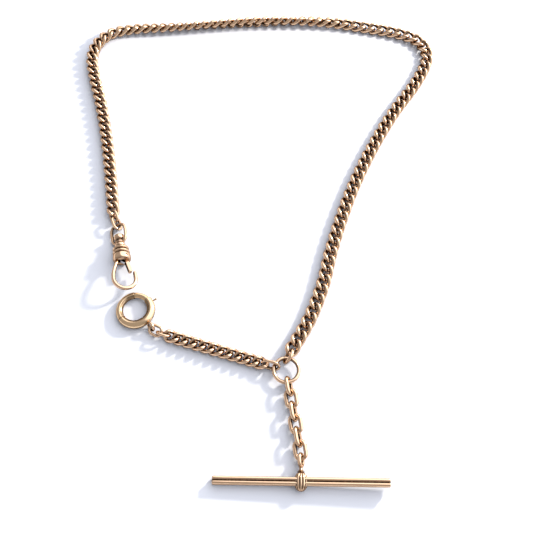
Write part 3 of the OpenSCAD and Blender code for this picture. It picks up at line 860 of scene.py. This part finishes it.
def make_case(place, ring_r, tube_r):
    """The tube, thickest at the eye, in two parts that meet in a small step, and slit for the
    tab."""
    def radius(angle):
        r = tube_r * (0.965 + 0.105 * math.cos(math.radians(angle)))
        return r + (0.05 if angle > SLEEVE_FROM else 0.0)

    end = GAP_FROM + 360
    stations = [[GAP_TO, 0.001], [GAP_TO, BORE + 0.02], [GAP_TO, radius(GAP_TO) - 0.07],
                [GAP_TO + 0.4, radius(GAP_TO) - 0.02], [GAP_TO + 1.2, radius(GAP_TO)]]
    angle = GAP_TO + 4
    while angle < end - 2:
        if abs(angle - SLEEVE_FROM) < 2:
            stations += [[SLEEVE_FROM - 1.0, radius(SLEEVE_FROM - 1)],
                         [SLEEVE_FROM - 0.1, radius(SLEEVE_FROM - 1) - 0.03],
                         [SLEEVE_FROM + 0.1, radius(SLEEVE_FROM + 1) - 0.03],
                         [SLEEVE_FROM + 0.8, radius(SLEEVE_FROM + 1)]]
        else:
            stations.append([angle, radius(angle)])
        angle += 4
    stations += [[end - 1.2, radius(end)], [end - 0.4, radius(end) - 0.02],
                 [end, radius(end) - 0.07], [end, BORE + 0.02], [end, 0.001]]

    def grime_and_shade(angle, turn):
        # The joint line where the two parts meet and the seam line are the tube's own dark lines. Grime and
        # painted shade: the side that faces the ring's hole, the outside beside the eye, and the ends at the gap.
        joint_line = math.exp(-((angle - SLEEVE_FROM) / 1.2) ** 2)
        inner = 0.8 * max(0.0, -math.cos(turn)) ** 2
        seam = 0.9 * math.exp(-((math.degrees(turn) - 118) / 9) ** 2)
        near_eye = 0.5 * math.exp(-((angle - 360) / 12) ** 2) * max(0.0, math.cos(turn))
        ends = 0.8 * (math.exp(-(angle - GAP_TO) ** 2) + math.exp(-(angle - end) ** 2))
        return min(1.0, 0.9 * joint_line + inner + seam + near_eye + ends)

    shape = Shape()
    arc_tube(shape, place, ring_r, stations, 32, grime_and_shade)
    made = shape.object("bolt_ring_tube", YELLOW)
    bore = Shape()
    arc_tube(bore, place, ring_r, [[GAP_TO - 3 + k * 4, BORE] for k in range(0, 12)], 24)
    cut(made, bore.object("bore_far", YELLOW))
    bore = Shape()
    first, last = 360 + STOP_ANGLE, end + 3
    steps = 44
    arc_tube(bore, place, ring_r,
             [[first + (last - first) * k / steps, BORE] for k in range(steps + 1)], 24)
    cut(made, bore.object("bore", YELLOW))
    slit = Shape()
    rings = []
    for k in range(17):
        a = math.radians(TAB_ANGLE - BOLT_TRAVEL - 6 + (BOLT_TRAVEL + 12) * k / 16)
        out = np.array([math.cos(a), math.sin(a), 0])
        rings.append([out * (ring_r + d) + UP * h
                      for d, h in ((0.3, -0.28), (2, -0.28), (2, 0.28), (0.3, 0.28))])
    # The slit's walls take a fully dark value: painted shade in the slit
    slit.skin(place, rings, [[1.0] * 4] * len(rings), False)
    cut(made, slit.object("slit", YELLOW))
    return finish_piece(made, "bolt_ring", "bolt_ring_case", edge=38)


def make_eye(place):
    """The eye is a ring on edge, soldered to the tube with a small fillet."""
    od, wire, roll = EYE
    out = extent("bolt_ring_eye", place)[1][0]
    own = Frame(place.world([out - od / 2, 0, 0])[0], place.x, place.y).turned_x(roll)
    shape = Shape()
    closed_wire(shape, own, oval_path(od - wire, od - wire), wire, 40, 0.5)
    foot = out - od
    fillet = [[foot - 0.25, 0.001], [foot - 0.25, 0.62], [foot - 0.02, 0.55], [foot + 0.16, 0.47],
              [foot + 0.34, 0.4], [foot + 0.5, 0.3], [foot + 0.5, 0.001]]
    # The fillet is dark: grime and painted shade where the eye meets the tube
    turned(shape, place, fillet, [0.85] * len(fillet), 20)
    return finish_piece(shape.object("bolt_ring_eye_wire", ROSE), "bolt_ring", "bolt_ring_eye")


def make_bolt(place, ring_r):
    """The sliding bolt, round at its nose, and the tab that draws it."""
    r = BORE - 0.04
    stations = [[BOLT_FROM, 0.001], [BOLT_FROM, r - 0.05], [BOLT_FROM + 0.6, r]]
    stations += [[a, r] for a in range(BOLT_FROM + 4, BOLT_TO - 4, 4)]
    stations += [[BOLT_TO - 3.5, r], [BOLT_TO - 2, 0.94 * r], [BOLT_TO - 1, 0.78 * r],
                 [BOLT_TO - 0.3, 0.5 * r], [BOLT_TO, 0.001]]
    shape = Shape()
    # Grime and painted shade: darker where the bolt passes into the tube at the gap
    arc_tube(shape, place, ring_r, stations, 24,
             lambda angle, turn: 0.6 * math.exp(-((angle - GAP_FROM) / 1.5) ** 2) + 0.1)
    finish_piece(shape.object("bolt_ring_slide", YELLOW), "bolt", "bolt_ring_bolt")

    a = math.radians(TAB_ANGLE)
    own = Frame(place.origin, place.x * math.cos(a) + place.y * math.sin(a), place.z)
    tip = extent("bolt_thumb_tab", own)[1][0]
    profile = [[ring_r + 0.2, 0.001], [ring_r + 0.2, 0.2], [tip - 0.78, 0.19]]
    profile += smooth_profile([[tip - 0.7, 0.19], [tip - 0.5, 0.24], [tip - 0.3, 0.3],
                               [tip - 0.12, 0.31], [tip - 0.03, 0.24], [tip, 0.1], [tip, 0.001]])
    shape = Shape()
    turned(shape, own, profile, groove_grime_and_shade(profile), 20)
    finish_piece(shape.object("bolt_thumb_tab_peg", YELLOW), "bolt", "bolt_thumb_tab")


def make_coil_spring(place, ring_r):
    """The coil in the tube, from its stop to the bolt."""
    turns, coil_r, wire_r = 24, 0.62, 0.1
    first, last = STOP_ANGLE + 0.8, BOLT_FROM - 1.0

    def path(u):
        a = math.radians(first + (last - first) * u)
        t = 2 * math.pi * turns * u
        out = np.array([math.cos(a), math.sin(a), 0])
        return out * (ring_r + coil_r * math.cos(t)) + UP * coil_r * math.sin(t)

    shape = Shape()
    sweep(shape, place, path, lambda u: wire_r, False, lambda u, a: 0.2, turns * 12, 6)
    made = shape.object("bolt_coil_spring", STEEL)
    ends = [place.world([ring_r * math.cos(a), ring_r * math.sin(a), 0])[0]
            for a in (math.radians(first), math.radians(last))]
    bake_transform(made)
    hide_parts("bolt_ring_spring")


# ---------------------------------------------------------------- T-bar
LOBE_AT, LOBE_R, ROD_CORE = 0.53, 0.52, 0.62
BEAD_RIBS = 12
LOOP_LENGTH = 3.9


def rod_frame():
    """Y along the rod, X level, from the loop to the bead's far side, at the bead's centre."""
    own, low, high = node_frame("t_bar_rod")
    loop = node_frame("t_bar_loop")[0].origin
    x = np.cross(own.x, UP)
    x = x * np.sign(x @ (own.origin - loop))
    y = own.x * np.sign(np.cross(UP, x) @ own.x)
    return Frame(own.origin, x, y), high[0]


def lobed_radius(t):
    """Radius of the four-lobed section at angle t."""
    away = t % (math.pi / 2) - math.pi / 4
    centre = LOBE_AT * math.sqrt(2)
    inside = LOBE_R ** 2 - (centre * math.sin(away)) ** 2
    if inside <= 0:
        return ROD_CORE
    return max(ROD_CORE, centre * math.cos(away) + math.sqrt(inside))


def make_rod(place, half_len):
    """Drawn wire with four round lobes, cut square with softened ends."""
    sides = 72
    ends = [(half_len, 0.86), (half_len - 0.03, 0.93), (half_len - 0.12, 0.985),
            (half_len - 0.3, 1.0)]
    stations = [(-y, s) for y, s in ends] + [(-half_len + 2 * half_len * k / 16, 1.0)
                                             for k in range(1, 16)] + ends[::-1]
    rings, values = [], []
    for y, scale in stations:
        ring, grime_and_shade = [], []
        for k in range(sides):
            t = 2 * math.pi * k / sides
            r = lobed_radius(t)
            ring.append([r * scale * math.cos(t), y, r * scale * math.sin(t)])
            # Grime and painted shade: darker in the grooves between the lobes
            grime_and_shade.append(min(1.0, max(0.0, (1.22 - r) / 0.5)) ** 1.3)
        rings.append(ring)
        values.append(grime_and_shade)
    shape = Shape()
    shape.skin(place, rings, values, False)
    return finish_piece(shape.object("t_bar_rod_wire", ROSE), "t_bar", "t_bar_rod", edge=50)


def make_bead(place):
    """A melon bead of round ribs that run from the stem to the far end."""
    low, high = extent("t_bar_bead", place)
    half_len, r = high[0], high[2]
    rows, sides = 40, BEAD_RIBS * 10
    rings, values = [], []
    for j in range(rows + 1):
        v = math.pi * (0.02 + 0.96 * j / rows)
        x = -half_len * math.cos(v)
        full = r * math.sin(v) ** 0.9
        ring, grime_and_shade = [], []
        for s in range(sides):
            t = 2 * math.pi * s / sides
            rib = abs(math.cos(t * BEAD_RIBS / 2))
            ribbed = full * (1 - 0.2 * math.sin(v) ** 0.6 * (1 - rib) ** 1.6)
            ring.append([x, ribbed * math.cos(t), ribbed * math.sin(t)])
            # Grime and painted shade: darker between the ribs and where the rod passes into the bead
            grime_and_shade.append(min(1.0, 1.4 * (1 - rib) ** 1.3 + 0.5 * abs(math.cos(t)) ** 4))
        rings.append(ring)
        values.append(grime_and_shade)
    shape = Shape()
    shape.skin(place, rings, values, False)
    return finish_piece(shape.object("t_bar_bead_ribs", ROSE), "t_bar", "t_bar_bead", edge=70)


def make_loop(place):
    """The T-bar's loop and the stem that flares into the bead."""
    own, low, high = node_frame("t_bar_loop")
    if own.x @ place.x < 0:
        own = Frame(own.origin, -own.x, own.y)
        low, high = extent("t_bar_loop", own)
    wire = high[2] - low[2]
    width = high[1] - low[1]
    centre = Frame(own.world([low[0] + LOOP_LENGTH / 2, 0, 0])[0], own.x, own.y)
    shape = Shape()
    closed_wire(shape, centre, oval_path(LOOP_LENGTH - wire, width - wire), wire, 48, 0.1)
    foot = high[0] - low[0] - LOOP_LENGTH / 2
    start = LOOP_LENGTH / 2 - wire * 0.75
    stem = [[start, 0.001]] + smooth_profile([
        [start, 0.4], [start + 0.35, 0.62], [start + 0.6, 0.5], [start + 0.9, 0.42],
        [foot - 0.75, 0.46], [foot - 0.35, 0.66], [foot - 0.05, 1.0]]) + [[foot, 0.001]]
    turned(shape, centre, stem, groove_grime_and_shade(stem), 32)
    return finish_piece(shape.object("t_bar_loop_wire", ROSE), "t_bar", "t_bar_loop", edge=50)


# ---------------------------------------------------------------- build
make_camera()
make_lamp()
make_room()
make_floor()
bpy.context.scene.view_settings.view_transform = "Standard"

for name in sorted(frame["nodes"]):
    if name.startswith(("main_chain_", "short_chain_")):
        curb_group(name)

for name in ["centre_ring", "main_end_link", "short_end_link", "swivel_link_1", "swivel_link_2",
             "bolt_link_1", "bolt_link_2"]:
    wire_link(name)
for name in sorted(n for n in frame["nodes"] if n.startswith("drop_link_")):
    wire_link(name)

barrel = swivel_frame()
make_bail(barrel)
make_rivet(barrel)
make_barrel(barrel)
make_hook(barrel)
make_lever(barrel)
make_lever_pin(barrel)
make_leaf_spring(barrel)

ring_place = bolt_ring_frame()
case_low, case_high = extent("bolt_ring_case", ring_place)
case_tube = (case_high[2] - case_low[2]) / 2
case_ring = -case_low[1] - case_tube
make_case(ring_place, case_ring, case_tube)
make_eye(ring_place)
make_bolt(ring_place, case_ring)
make_coil_spring(ring_place, case_ring)

rod_place, rod_half = rod_frame()
make_rod(rod_place, rod_half)
make_bead(rod_place)
make_loop(rod_place)
